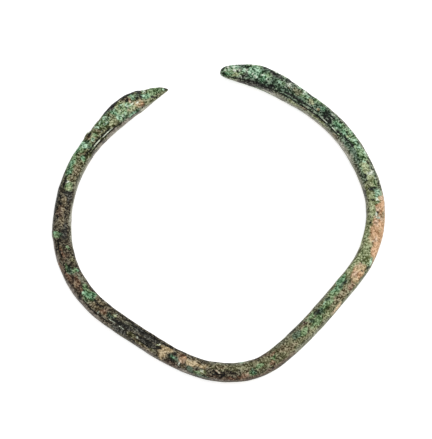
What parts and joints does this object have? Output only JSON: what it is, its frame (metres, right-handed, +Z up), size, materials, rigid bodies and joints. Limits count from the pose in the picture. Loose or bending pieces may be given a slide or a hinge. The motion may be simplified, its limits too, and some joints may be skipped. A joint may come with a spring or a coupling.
{
  "type": "bronze bracelet",
  "caption": "Open hoop bracelet bent from one bar, with a flattened tapering head at each end, worn on a wrist and lying flat when it is off.",
  "frame": {"origin": "middle of the hoop's bounding box, on the surface that the bracelet lies on", "axes": "+Z up through the lying hoop, +Y towards the gap between the two heads, +X towards the side of the blunt-ended head"},
  "size_m": [0.0716, 0.0722, 0.004],
  "materials": {
    "bronze_patina": "dull granular corrosion crust, dark olive brown with green, pale turquoise and buff patches, and a few smooth dark glossy worn lines"
  },
  "bodies": {
    "root": {"bracelet": "bronze_patina"}
  },
  "joints": []
}
